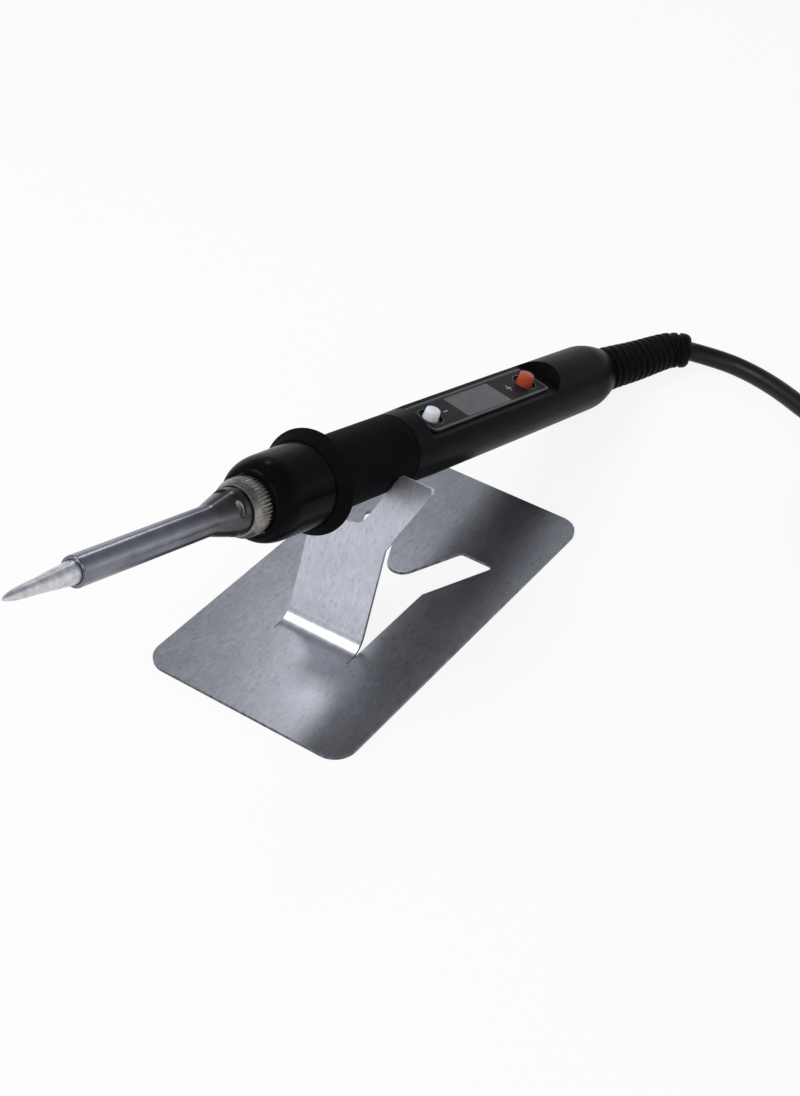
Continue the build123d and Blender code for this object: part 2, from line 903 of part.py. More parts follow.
def coil_point(radius, angle, z):
    x, y = coil_center
    return (x + radius * cos(radians(angle)), y + radius * sin(radians(angle)), z)


def cord_coil():
    """Outer shape of the coiled cord, with a shallow notch where the tie passes under it."""
    middle = (coil_outer + coil_inner) / 2
    width = coil_outer - coil_inner
    outline = Rectangle(width, coil_height)
    outline = chamfer(outline.vertices(), coil_corner)
    section = Plane.XZ * Pos(middle, coil_height / 2) * outline
    ring = Pos(*coil_center) * revolve(section, Axis.Z)
    notch = Box(width + 2, 1.4 * tie_width, 2 * (tie_thickness + 0.2))
    return ring - Pos(*coil_point(middle, tie_angle, 0)) * Rot(0, 0, tie_angle) * notch


def cord_tie():
    """Hook-and-loop strap round the coil."""
    middle = (coil_outer + coil_inner) / 2
    width = coil_outer - coil_inner
    slack = 0.1
    low = 0.1
    tie_corner = 0.5 * coil_corner
    inner_low = low + tie_thickness
    inner_high = coil_height + slack
    outer_high = inner_high + tie_thickness
    span = width + 2 * slack
    outer = RectangleRounded(span + 2 * tie_thickness, outer_high - low, tie_corner + tie_thickness)
    inner = RectangleRounded(span, inner_high - inner_low, tie_corner)
    ring = Pos(middle, (outer_high + low) / 2) * outer
    ring -= Pos(middle, (inner_high + inner_low) / 2) * inner
    sweep_angle = degrees(tie_width / middle)
    strap = revolve(Plane.XZ * ring, Axis.Z, sweep_angle)
    return Pos(*coil_center) * Rot(0, 0, tie_angle - sweep_angle / 2) * strap


lead_end = coil_point(coil_turn_radii[0] + 0.5, coil_join_angle, 3.05)
tail_begin = coil_point(coil_turn_radii[0] + 0.6, coil_leave_angle, 9.0)
plug_z = plug_thickness / 2
pin_places = (plug_x - pin_spacing / 2, plug_x + pin_spacing / 2)
relief_back = plug_back + plug_relief_length
cord_tail_route = [
    tail_begin,
    (150.9, 85.0, 8.1),
    (plug_x, 73.9, plug_z),
    (plug_x, relief_back, plug_z),
]


def plug_body():
    """Flat two-pole plug, waisted towards its nose, with the pins' insulating collars."""
    half = plug_width / 2
    nose = plug_nose_width / 2
    front = plug_back - plug_length
    outline = make_face(
        Polyline(
            (plug_x - half, front),
            (plug_x + half, front),
            (plug_x + half, front + 0.5 * plug_length),
            (plug_x + nose, plug_back - 6.0),
            (plug_x + nose * 0.55, plug_back),
            (plug_x - nose * 0.55, plug_back),
            (plug_x - nose, plug_back - 6.0),
            (plug_x - half, front + 0.5 * plug_length),
            close=True,
        )
    )
    outline = fillet(outline.vertices(), plug_corner)
    body = extrude(outline, plug_thickness)
    body = chamfer(body.faces().sort_by(Axis.Z)[-1].edges(), plug_edge)
    body = chamfer(body.faces().sort_by(Axis.Z)[0].edges(), plug_edge)
    for x in pin_places:
        collar = Cylinder(pin_radius, pin_collar_length, align=(C, C, LOW))
        bore = Cylinder(pin_core_radius + seat, pin_collar_length + pin_socket + 1 + seat, align=(C, C, LOW))
        body += Pos(x, front, plug_z) * Rot(90, 0, 0) * collar
        body -= Pos(x, front - pin_collar_length - 1, plug_z) * Rot(-90, 0, 0) * bore
    return body


def plug_pins():
    """Brass pins with a bare end and a thin core through the insulating collar."""
    group = []
    shoulder = plug_back - plug_length - pin_collar_length - seat
    for x in pin_places:
        bare = Cylinder(pin_radius, pin_length - pin_collar_length - seat, align=(C, C, LOW))
        bare = fillet(bare.edges().sort_by(Axis.Z)[-1], pin_round)
        core = Cylinder(pin_core_radius, pin_collar_length + pin_socket, align=(C, C, LOW))
        pin = Rot(90, 0, 0) * bare + Rot(-90, 0, 0) * core
        group.append(one(Pos(x, shoulder, plug_z) * pin))
    return Compound(children=group)


def plug_relief():
    """Ribbed boot between the plug and the cord."""
    length = plug_relief_length - seat
    begin = Pos(plug_x, plug_back + seat, plug_z) * Rot(-90, 0, 0)
    body = begin * Cone(plug_relief_radius - 0.6, cord_radius + 0.5, length, align=(C, C, LOW))
    for index in range(plug_relief_ribs):
        share = (index + 0.5) / plug_relief_ribs
        radius = plug_relief_radius - (plug_relief_radius - cord_radius - 0.9) * share
        body += begin * Pos(0, 0, share * length) * Cylinder(radius, 1.6)
    return body


# ---------------------------------------------------------------- build

iron_parts = {
    "soldering_tip": (soldering_tip(), 0xC9C6C0),
    "tip_sleeve": (tip_sleeve(), 0xB9B6B0),
    "sleeve_nut": (sleeve_nut(), 0xB8B0A0),
    "ferrule": (ferrule(), 0xB0A890),
    "heater_bush": (heater_bush(), 0xE4DFD2),
    "ceramic_heater": (ceramic_heater(), 0xEDE8DC),
    "heater_leads": (heater_leads(), 0xC04030),
    "front_collar": (front_collar(), 0x1A1A1E),
    "grip_sleeve": (grip_sleeve(), 0x26262A),
    "upper_shell": (upper_shell(), 0x202024),
    "lower_shell": (lower_shell(), 0x2A2A30),
    "shell_screws": (shell_screws(), 0x909090),
    "panel_bezel": (panel_bezel(), 0x66666A),
    "panel_overlay": (panel_overlay(), 0x3A3634),
    "lcd_window": (lcd_window(), 0x9A9CA0),
    "lcd_module": (lcd_module(), 0x8C9080),
    "circuit_board": (circuit_board(), 0x2E6B3C),
    "board_parts": (board_parts(), 0x303030),
    "tact_switches": (tact_switches(), 0x505050),
    "minus_button": (button(minus_station, minus_radius, minus_height), 0xEFEFEF),
    "plus_button": (button(plus_station, plus_radius, plus_height), 0xD8643C),
    "cord_clamp": (cord_clamp(), 0x505058),
    "clamp_screws": (clamp_screws(), 0x909090),
    "cord_sheath_end": (cord_sheath_end(), 0x1C1C20),
    "cord_cores": (cord_cores(), 0x4060A0),
}
stand_parts = {
    "stand_plate": (stand_plate(), 0x8A8E96),
    "strain_relief": (strain_relief(), 0x1E1E22),
    "cord_lead": (tube(cord_lead_route + [lead_end], cord_diameter), 0x1C1C20),
    "cord_coil": (cord_coil(), 0x1C1C20),
    "cord_tail": (tube(cord_tail_route, cord_diameter), 0x1C1C20),
    "cord_tie": (cord_tie(), 0x303034),
    "plug_body": (plug_body(), 0x1C1C20),
    "plug_pins": (plug_pins(), 0xC8B070),
    "plug_relief": (plug_relief(), 0x1C1C20),
}

for name, (shape, color) in iron_parts.items():
    save(name, iron_place * shape, color)
for name, (shape, color) in stand_parts.items():
    save(name, shape, color)
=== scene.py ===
import json
import math

import bmesh
import bpy
from mathutils import Matrix, Vector


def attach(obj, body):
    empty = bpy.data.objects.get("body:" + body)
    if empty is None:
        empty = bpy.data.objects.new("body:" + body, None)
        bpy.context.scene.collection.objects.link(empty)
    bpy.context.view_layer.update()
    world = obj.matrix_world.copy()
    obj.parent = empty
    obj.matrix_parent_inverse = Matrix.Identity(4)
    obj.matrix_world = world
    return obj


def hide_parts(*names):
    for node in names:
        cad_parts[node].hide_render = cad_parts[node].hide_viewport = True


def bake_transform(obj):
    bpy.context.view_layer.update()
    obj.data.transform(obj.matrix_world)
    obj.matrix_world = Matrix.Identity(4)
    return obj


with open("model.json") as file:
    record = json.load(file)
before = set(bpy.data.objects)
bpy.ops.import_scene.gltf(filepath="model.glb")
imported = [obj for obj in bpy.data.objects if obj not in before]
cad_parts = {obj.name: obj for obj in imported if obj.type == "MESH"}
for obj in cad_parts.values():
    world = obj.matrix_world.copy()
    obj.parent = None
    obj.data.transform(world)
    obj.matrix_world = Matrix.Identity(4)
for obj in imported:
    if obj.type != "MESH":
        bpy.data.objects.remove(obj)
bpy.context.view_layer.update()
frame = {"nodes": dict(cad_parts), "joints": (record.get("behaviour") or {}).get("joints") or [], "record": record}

# A soldering iron resting on its folded sheet stand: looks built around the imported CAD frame.
# Everything is in metres, in the frame's own axes: the origin is the centre of the stand
# plate's underside, +Z is up and the iron's tip points towards -Y.

NODES = frame["nodes"]
JOINTS = {joint["name"]: joint for joint in frame["joints"]}
MM = 0.001

# ---------------------------------------------------------------- the iron's own frame
# In millimetres: stations run back from the tip's point along the axis, height is towards the
# panel, and x is to the right when looking from the tip back along the iron.
NUT_STATION = 80.0
HANDLE_END = 258.8
AXIS = -Vector(JOINTS["barrel_slide"]["axis"]).normalized()
UP = -Vector(JOINTS["minus_press"]["axis"]).normalized()
RIGHT = AXIS.cross(UP).normalized()
AXIS_POINT = Vector(JOINTS["nut_turn"]["pos_m"])


def iron(x, station, height):
    """Point in the shared frame, from millimetres in the iron's own."""
    return AXIS_POINT + (RIGHT * x + AXIS * (station - NUT_STATION) + UP * height) * MM


# ---------------------------------------------------------------- camera

CAMERA_PLACE = Vector((0.2308, -0.3177, 0.3439))
CAMERA_RIGHT = Vector((0.81492, 0.57948, 0.01075))
CAMERA_UP = Vector((-0.37822, 0.51764, 0.76746))
CAMERA_BACK = Vector((0.43916, -0.62949, 0.64100))
CAMERA_LENS = 62.3
SENSOR_HEIGHT = 36.0
NEAR_CLIP = 0.01


def add_camera():
    data = bpy.data.cameras.new("camera")
    data.lens = CAMERA_LENS
    data.sensor_fit = "VERTICAL"
    data.sensor_height = SENSOR_HEIGHT
    data.clip_start = NEAR_CLIP
    camera = bpy.data.objects.new("camera", data)
    turn = Matrix((CAMERA_RIGHT, CAMERA_UP, CAMERA_BACK)).transposed().to_4x4()
    camera.matrix_world = Matrix.Translation(CAMERA_PLACE) @ turn
    bpy.context.scene.collection.objects.link(camera)
    bpy.context.scene.camera = camera


# ---------------------------------------------------------------- material helpers


def set_stops(node, stops):
    """Gives a colour ramp's node its stops, each (position, colour)."""
    elements = node.color_ramp.elements
    while len(elements) < len(stops):
        elements.new(0.5)
    for element, (position, color) in zip(elements, stops):
        element.position = position
        element.color = (*color, 1)


class Material:
    """A Principled material with short calls for the nodes that drive it."""

    def __init__(self, name, color, roughness, metallic=0.0, **constants):
        self.name = name
        self.material = bpy.data.materials.new(name)
        self.material.use_nodes = True
        self.tree = self.material.node_tree
        self.shader = self.tree.nodes["Principled BSDF"]
        self.shader.inputs["Base Color"].default_value = (*color, 1)
        self.shader.inputs["Roughness"].default_value = roughness
        self.shader.inputs["Metallic"].default_value = metallic
        for socket, value in constants.items():
            self.shader.inputs[socket.replace("_", " ")].default_value = value
        self.place = self.node("ShaderNodeTexCoord").outputs["Object"]

    def node(self, kind, **settings):
        node = self.tree.nodes.new(kind)
        for key, value in settings.items():
            setattr(node, key, value)
        return node

    def join(self, source, target):
        self.tree.links.new(source, target)

    def stretched(self, scale=(1, 1, 1), along_iron=False):
        """Object coordinates, scaled; along_iron turns Y into the iron's axis."""
        mapping = self.node("ShaderNodeMapping")
        place = self.place
        if along_iron:
            turn = self.node("ShaderNodeMapping")
            turn.vector_type = "TEXTURE"
            turn.inputs["Location"].default_value = AXIS_POINT
            rotation = Matrix((RIGHT, AXIS, UP)).transposed().to_euler()
            turn.inputs["Rotation"].default_value = rotation
            self.join(place, turn.inputs["Vector"])
            place = turn.outputs["Vector"]
        mapping.inputs["Scale"].default_value = scale
        self.join(place, mapping.inputs["Vector"])
        return mapping.outputs["Vector"]

    def noise(self, size_mm, detail=3.0, roughness=0.55, place=None):
        """Noise whose features are about size_mm across."""
        node = self.node("ShaderNodeTexNoise")
        node.inputs["Scale"].default_value = 1.0 / (size_mm * MM)
        node.inputs["Detail"].default_value = detail
        node.inputs["Roughness"].default_value = roughness
        self.join(place or self.place, node.inputs["Vector"])
        return node.outputs["Fac"]

    def cells(self, size_mm, feature="F1"):
        """Distance within cells about size_mm across."""
        node = self.node("ShaderNodeTexVoronoi", feature=feature)
        node.inputs["Scale"].default_value = 1.0 / (size_mm * MM)
        self.join(self.place, node.inputs["Vector"])
        return node.outputs["Distance"]

    def ramp(self, factor, *stops):
        """Colour or grey ramp; each stop is (position, colour or grey)."""
        node = self.node("ShaderNodeValToRGB")
        set_stops(node, [
            (position, value if hasattr(value, "__len__") else (value, value, value))
            for position, value in stops
        ])
        self.join(factor, node.inputs["Fac"])
        return node.outputs["Color"]

    def mix(self, factor, first, second, blend="MIX"):
        """Mix of two colours, each a socket or a tuple; factor is a socket or a number."""
        node = self.node("ShaderNodeMix", data_type="RGBA", blend_type=blend)
        for value, socket in ((factor, 0), (first, 6), (second, 7)):
            if hasattr(value, "links"):
                self.join(value, node.inputs[socket])
            elif hasattr(value, "__len__"):
                node.inputs[socket].default_value = (*value, 1)
            else:
                node.inputs[socket].default_value = value
        return node.outputs[2]

    def sum(self, *values):
        """Sum of weighted factors, each (socket, weight)."""
        total = None
        for socket, weight in values:
            scaled = self.node("ShaderNodeMath", operation="MULTIPLY")
            self.join(socket, scaled.inputs[0])
            scaled.inputs[1].default_value = weight
            if total is None:
                total = scaled.outputs[0]
                continue
            added = self.node("ShaderNodeMath", operation="ADD")
            self.join(total, added.inputs[0])
            self.join(scaled.outputs[0], added.inputs[1])
            total = added.outputs[0]
        return total

    def color(self, socket):
        """Drives the base colour."""
        self.join(socket, self.shader.inputs["Base Color"])

    def roughness(self, factor, low, high):
        """Drives the roughness from low to high as the factor goes from 0 to 1."""
        node = self.node("ShaderNodeMapRange")
        node.inputs["To Min"].default_value = low
        node.inputs["To Max"].default_value = high
        self.join(factor, node.inputs["Value"])
        self.join(node.outputs["Result"], self.shader.inputs["Roughness"])

    def bump(self, height, depth_mm):
        """Drives the normal, for a relief of depth_mm between heights 0 and 1."""
        node = self.node("ShaderNodeBump")
        node.inputs["Distance"].default_value = depth_mm * MM
        self.join(height, node.inputs["Height"])
        self.join(node.outputs["Normal"], self.shader.inputs["Normal"])


# ---------------------------------------------------------------- materials

# The plate's cut edges, darkened as uncoated steel and as painted shade: the largest Z, up or down, of their
# normals, and the height they end at.
EDGE_NORMAL = 0.55
EDGE_TOP_MM = 1.05

# Stations between which the sleeve darkens: partly browning from heating, partly a painted dark reflection.
HEAT_TINT_AND_REFLECTION_FROM = 52.0
HEAT_TINT_AND_REFLECTION_TO = 76.0


# Darkest and lightest colour of each plastic.
TONES = {
    "handle": ((0.0040, 0.0040, 0.0052), (0.0060, 0.0060, 0.0076)),
    "rubber": ((0.0040, 0.0040, 0.0046), (0.0065, 0.0065, 0.0074)),
    "collar": ((0.0028, 0.0028, 0.0035), (0.0042, 0.0042, 0.0052)),
    "cord": ((0.0050, 0.0050, 0.0060), (0.0080, 0.0080, 0.0096)),
    "trim": ((0.020, 0.0195, 0.020), (0.030, 0.029, 0.030)),
    "film": ((0.0085, 0.0074, 0.0076), (0.0120, 0.0105, 0.0106)),
    "print": ((0.10, 0.098, 0.095), (0.15, 0.147, 0.143)),
    "sign": ((0.34, 0.33, 0.32), (0.44, 0.43, 0.42)),
    "white": ((0.74, 0.75, 0.79), (0.82, 0.83, 0.87)),
    "orange": ((0.32, 0.042, 0.018), (0.40, 0.060, 0.026)),
    "ceramic": ((0.76, 0.73, 0.67), (0.84, 0.82, 0.77)),
    "lead": ((0.5, 0.08, 0.05), (0.62, 0.12, 0.08)),
    "core": ((0.05, 0.12, 0.42), (0.07, 0.17, 0.5)),
    "chip": ((0.02, 0.02, 0.022), (0.04, 0.04, 0.042)),
    "glass": ((0.2, 0.21, 0.2), (0.26, 0.27, 0.26)),
}


def cut_edge_shade_mask(m):
    """1 on the upright cut edges of the flat plate, up to its top, which get painted shade; else 0."""
    geometry = m.node("ShaderNodeNewGeometry")
    facing = m.node("ShaderNodeSeparateXYZ")
    m.join(geometry.outputs["Normal"], facing.inputs[0])
    upright = m.node("ShaderNodeMath", operation="COMPARE")
    m.join(facing.outputs["Z"], upright.inputs[0])
    upright.inputs[1].default_value = 0.0
    upright.inputs[2].default_value = EDGE_NORMAL
    place = m.node("ShaderNodeSeparateXYZ")
    m.join(m.place, place.inputs[0])
    low = m.node("ShaderNodeMath", operation="LESS_THAN")
    m.join(place.outputs["Z"], low.inputs[0])
    low.inputs[1].default_value = EDGE_TOP_MM * MM
    both = m.node("ShaderNodeMath", operation="MULTIPLY")
    m.join(upright.outputs[0], both.inputs[0])
    m.join(low.outputs[0], both.inputs[1])
    return both.outputs[0]


def galvanised_sheet():
    """Zinc-coated sheet: fine directional grain, small dark pits, faint large patches."""
    m = Material("galvanised_sheet", (0.44, 0.46, 0.50), 0.32, 1.0)
    along = m.stretched((1.0, 0.3, 0.3))
    grain = m.noise(0.9, 4.0, 0.7, along)
    patches = m.noise(16.0, 4.0, 0.6)
    specks = m.noise(0.9, 3.0, 0.55, m.stretched((1.0, 0.6, 0.6)))
    pits = m.ramp(specks, (0.33, 0.0), (0.42, 1.0))
    body = m.ramp(
        m.sum((grain, 0.6), (patches, 0.4)),
        (0.36, (0.40, 0.415, 0.455)),
        (0.50, (0.46, 0.475, 0.52)),
        (0.64, (0.54, 0.555, 0.60)),
    )
    zinc = m.mix(pits, m.mix(1.0, body, (0.80, 0.80, 0.82), "MULTIPLY"), body)
    # Cut edges: uncoated steel, made darker still as painted shade for the contact shadow and the dark they
    # mirror.
    cut_edge_steel_and_shade = m.ramp(grain, (0.4, (0.07, 0.072, 0.08)), (0.6, (0.16, 0.165, 0.18)))
    m.color(m.mix(cut_edge_shade_mask(m), zinc, cut_edge_steel_and_shade))
    m.roughness(m.sum((grain, 0.7), (patches, 0.3)), 0.27, 0.39)
    m.bump(m.sum((grain, 0.7), (pits, 0.3)), 0.006)
    return m


def bright_tip():
    """Tinned tip: bright, with dull patches and fine lines along it."""
    m = Material("bright_tip", (0.80, 0.79, 0.77), 0.3, 1.0)
    wear = m.noise(1.6, 4.0, 0.6)
    along = m.noise(0.5, 2.0, 0.5, m.stretched((1.0, 0.15, 1.0), True))
    m.color(m.ramp(wear, (0.35, (0.48, 0.485, 0.51)), (0.6, (0.66, 0.665, 0.69))))
    m.roughness(m.sum((wear, 0.5), (along, 0.5)), 0.30, 0.50)
    m.bump(along, 0.006)
    return m


def sleeve_steel():
    """Stainless tube, browned by heating and darkened further as a painted dark reflection towards the nut."""
    m = Material("sleeve_steel", (0.62, 0.60, 0.57), 0.24, 1.0)
    station = m.node("ShaderNodeSeparateXYZ")
    m.join(m.stretched(along_iron=True), station.inputs[0])
    heat_tint_and_dark_reflection = m.node("ShaderNodeMapRange")
    heat_tint_and_dark_reflection.inputs["From Min"].default_value = (HEAT_TINT_AND_REFLECTION_FROM - NUT_STATION) * MM
    heat_tint_and_dark_reflection.inputs["From Max"].default_value = (HEAT_TINT_AND_REFLECTION_TO - NUT_STATION) * MM
    m.join(station.outputs["Y"], heat_tint_and_dark_reflection.inputs["Value"])
    rings = m.noise(0.35, 2.0, 0.5, m.stretched((0.15, 1.0, 0.15), True))
    stain = m.noise(7.0, 4.0, 0.6, m.stretched((1.0, 0.5, 1.0), True))
    steel = m.ramp(stain, (0.36, (0.125, 0.129, 0.152)), (0.62, (0.20, 0.205, 0.235)))
    # The near-black tone here is partly the tint from heating, partly a painted dark reflection.
    brown_and_dark_reflection = m.ramp(stain, (0.36, (0.024, 0.022, 0.022)), (0.62, (0.060, 0.054, 0.050)))
    m.color(m.mix(heat_tint_and_dark_reflection.outputs["Result"], steel, brown_and_dark_reflection))
    m.roughness(m.sum((rings, 0.5), (stain, 0.5)), 0.15, 0.30)
    m.bump(rings, 0.003)
    return m


def nut_nickel():
    """Nickel plate, warmed to a faint yellow and worn in spots."""
    m = Material("nut_nickel", (0.60, 0.56, 0.50), 0.3, 1.0)
    wear = m.noise(1.2, 4.0, 0.6)
    m.color(m.ramp(wear, (0.35, (0.15, 0.141, 0.130)), (0.62, (0.26, 0.247, 0.228))))
    m.roughness(wear, 0.24, 0.40)
    m.bump(m.noise(0.3), 0.006)
    return m


def plastic(name, tone, rough, size_mm=0.35, depth_mm=0.004, **constants):
    """Moulded plastic or rubber: faint clouding, and a grain of that size and depth."""
    low, high = TONES[tone]
    m = Material(name, high, rough[0], 0.0, **constants)
    cloud = m.noise(11.0, 4.0, 0.6)
    grain = m.noise(size_mm, 2.0, 0.5)
    m.color(m.ramp(m.sum((cloud, 0.8), (grain, 0.2)), (0.38, low), (0.62, high)))
    m.roughness(m.sum((cloud, 0.6), (grain, 0.4)), *rough)
    m.bump(grain, depth_mm)
    return m


def metal(name, low, high, rough):
    """Plain metal: worn in small patches, with a fine grain."""
    m = Material(name, high, rough[0], 1.0)
    wear = m.noise(1.0, 4.0, 0.6)
    m.color(m.ramp(wear, (0.36, low), (0.62, high)))
    m.roughness(wear, *rough)
    m.bump(m.noise(0.25), 0.004)
    return m


def woven_tie():
    """Black woven tie: a close cell pattern stands for its weave."""
    m = Material("tie_black", (0.03, 0.03, 0.033), 0.85)
    weave = m.cells(0.5)
    m.color(m.ramp(weave, (0.2, (0.045, 0.045, 0.05)), (0.7, (0.015, 0.015, 0.017))))
    m.bump(weave, 0.12)
    return m


def circuit_green():
    """Green board with paler lines for its tracks."""
    m = Material("board_green", (0.05, 0.28, 0.12), 0.35)
    tracks = m.cells(2.2, "DISTANCE_TO_EDGE")
    m.color(m.ramp(tracks, (0.06, (0.11, 0.42, 0.2)), (0.1, (0.04, 0.24, 0.1))))
    m.bump(tracks, 0.03)
    return m


def display_window():
    """Dark glossy window of the display, switched off."""
    m = Material("display_clear", (0.10, 0.102, 0.105), 0.16, Specular_IOR_Level=0.2)
    haze = m.noise(3.0, 3.0, 0.5)
    m.color(m.ramp(haze, (0.38, (0.038, 0.039, 0.042)), (0.62, (0.052, 0.053, 0.057))))
    m.roughness(haze, 0.13, 0.22)
    m.bump(m.noise(0.4), 0.001)
    return m


def make_materials():
    """Material for every slot of the record, and three for the pieces made here."""
    made = (
        galvanised_sheet(),
        bright_tip(),
        sleeve_steel(),
        nut_nickel(),
        display_window(),
        circuit_green(),
        woven_tie(),
        metal("ferrule_brass", (0.50, 0.40, 0.24), (0.66, 0.56, 0.36), (0.25, 0.4)),
        metal("screw_steel", (0.42, 0.42, 0.42), (0.6, 0.6, 0.6), (0.25, 0.4)),
        metal("pin_brass", (0.55, 0.50, 0.40), (0.74, 0.70, 0.62), (0.2, 0.34)),
        plastic("ceramic", "ceramic", (0.5, 0.65)),
        plastic("lead_insulation", "lead", (0.6, 0.75)),
        plastic("core_insulation", "core", (0.4, 0.5)),
        plastic("parts_black", "chip", (0.4, 0.55)),
        plastic("display_glass", "glass", (0.2, 0.3)),
        plastic("white_plastic", "white", (0.26, 0.36), Subsurface_Weight=0.15),
        plastic(
            "orange_plastic", "orange", (0.28, 0.38), Subsurface_Weight=0.1, Specular_IOR_Level=0.2
        ),
        plastic("gloss_black", "collar", (0.16, 0.26), 0.6, 0.002, Specular_IOR_Level=0.022),
        plastic("grip_rubber", "rubber", (0.5, 0.62), 0.3, 0.008, Specular_IOR_Level=0.01),
        plastic("handle_black", "handle", (0.28, 0.38), 0.3, 0.003, Specular_IOR_Level=0.02),
        plastic("panel_trim", "trim", (0.3, 0.42), Specular_IOR_Level=0.25),
        plastic("panel_film", "film", (0.38, 0.5), 0.2, 0.002, Specular_IOR_Level=0.05),
        plastic("cord_black", "cord", (0.34, 0.46), 0.5, 0.006, Specular_IOR_Level=0.2),
        plastic("plug_black", "cord", (0.42, 0.56), 0.3, 0.01, Specular_IOR_Level=0.2),
        plastic("relief_black", "rubber", (0.38, 0.5), 0.4, 0.004, Specular_IOR_Level=0.04),
        plastic("print_grey", "print", (0.5, 0.6), Specular_IOR_Level=0.2),
        plastic("sign_grey", "sign", (0.5, 0.6), Specular_IOR_Level=0.2),
    )
    return {m.name: m for m in made}


# ---------------------------------------------------------------- finishing carried-over nodes


EDGE_ANGLE = 32.0
WELD_DISTANCE = 2e-6
BEVEL_SEGMENTS = 2
ROUNDED_MM = {
    "stand_plate": 0.15,
    "panel_bezel": 0.08,
    "upper_shell": 0.18,
    "lower_shell": 0.18,
    "sleeve_nut": 0.04,
}


def hard_edges(piece, angle_deg=EDGE_ANGLE):
    """Joins the mesh's faces, shaded smooth, with a break at each edge sharper than angle_deg."""
    custom = piece.data.attributes.get("custom_normal")
    if custom:
        piece.data.attributes.remove(custom)
    for polygon in piece.data.polygons:
        polygon.use_smooth = True
    weld = piece.modifiers.new("weld", "WELD")
    weld.merge_threshold = WELD_DISTANCE
    split = piece.modifiers.new("split", "EDGE_SPLIT")
    split.split_angle = math.radians(angle_deg)


def round_edges(piece, width_mm):
    """Same, with the sharp edges rounded instead of broken."""
    hard_edges(piece)
    piece.modifiers.remove(piece.modifiers["split"])
    bevel = piece.modifiers.new("bevel", "BEVEL")
    bevel.width = width_mm * MM
    bevel.segments = BEVEL_SEGMENTS
    bevel.limit_method = "ANGLE"
    bevel.angle_limit = math.radians(EDGE_ANGLE)
    even = piece.modifiers.new("even", "WEIGHTED_NORMAL")
    even.weight = 50


def dress_nodes(materials):
    """Gives each node of the CAD model its slot's material."""
    slots = {part["node"]: part["material_slot"] for part in frame["record"]["subparts"]}
    for name, node in NODES.items():
        node.data.materials.clear()
        node.data.materials.append(materials[slots[name]].material)


def finish_edges():
    """Rounds the edges of the nodes in ROUNDED_MM and leaves those of the others sharp."""
    for name, node in NODES.items():
        if name in ROUNDED_MM:
            round_edges(node, ROUNDED_MM[name])
        else:
            hard_edges(node)


# ---------------------------------------------------------------- cord

# Control points of the cord's route: from the strain relief to the coil, then from the coil to
# the plug. They are the CAD route's own points, in metres.
CORD_DIAMETER = 6.0 * MM
CORD_LEAD = [
    (0.0164, 0.1486, 0.0056),
    (0.0260, 0.1529, 0.0038),
    (0.0372, 0.1530, 0.00305),
    (0.0492, 0.1496, 0.00305),
    (0.0618, 0.1439, 0.00305),
    (0.0740, 0.1406, 0.00305),
    (0.0866, 0.1414, 0.00305),
    (0.0986, 0.1461, 0.00305),
]
CORD_TAIL = [
    (0.1509, 0.0850, 0.0081),
    (0.1480, 0.0739, 0.00685),
    (0.1480, 0.0639, 0.00685),
]

# The coil: radii of its turns from the outside in, heights of its two layers, the bearing it
# begins at, its full turns and the degrees beyond them, and the points in each turn.
COIL_CENTER = Vector((0.1218, 0.1140, 0))
COIL_RADII = (0.0393, 0.0332, 0.0271)
COIL_LOW = 3.05 * MM
COIL_HIGH = 9.15 * MM
COIL_JOIN = 110.0
COIL_TURNS = 5
COIL_LAST = 140.0
COIL_STEPS = 24

# Degrees of a turn over which it moves to the next radius, in the lower and the upper layer.
# In the lower layer's last turn it climbs to the upper one over the same degrees.
LOWER_SHIFT = (270, 360)
UPPER_SHIFT = (180, 270)


def ease(value, low, high):
    """0 below low, 1 above high, smooth between."""
    share = min(max((value - low) / (high - low), 0.0), 1.0)
    return share * share * (3 - 2 * share)


def coil_points():
    """Bottom layer winds inwards, climbs, then the top layer winds outwards."""
    points = []
    layer = len(COIL_RADII)
    steps = round((COIL_TURNS * 360 + COIL_LAST) / 360 * COIL_STEPS)
    for index in range(steps + 1):
        turned = index * 360 / COIL_STEPS
        turn, angle = divmod(turned, 360)
        turn = int(turn)
        if turn < layer:
            now = COIL_RADII[turn]
            later = COIL_RADII[min(turn + 1, layer - 1)]
            radius = now + (later - now) * ease(angle, *LOWER_SHIFT)
            rise = ease(angle, *LOWER_SHIFT) if turn == layer - 1 else 0.0
        else:
            now = COIL_RADII[2 * layer - 1 - turn]
            later = COIL_RADII[max(2 * layer - 2 - turn, 0)]
            radius = now + (later - now) * ease(angle, *UPPER_SHIFT)
            rise = 1.0
        bearing = math.radians(COIL_JOIN - turned)
        height = COIL_LOW + (COIL_HIGH - COIL_LOW) * rise
        outward = Vector((math.cos(bearing), math.sin(bearing), 0))
        points.append(COIL_CENTER + outward * radius + Vector((0, 0, height)))
    return points


def route_curve(points):
    """NURBS spline with the route's points as its control points."""
    curve = bpy.data.curves.new("route", "CURVE")
    curve.dimensions = "3D"
    curve.resolution_u = 8
    spline = curve.splines.new("NURBS")
    spline.points.add(len(points) - 1)
    for point, place in zip(spline.points, points):
        point.co = (*place, 1)
    spline.order_u = 3
    spline.use_endpoint_u = True
    return curve


def centre_line(points):
    """Points along the route's smooth line, as the curve itself gives them."""
    route = bpy.data.objects.new("route", route_curve(points))
    bpy.context.scene.collection.objects.link(route)
    mesh = bpy.data.meshes.new_from_object(route)
    line = [vertex.co.copy() for vertex in mesh.vertices]
    bpy.data.objects.remove(route)
    return line


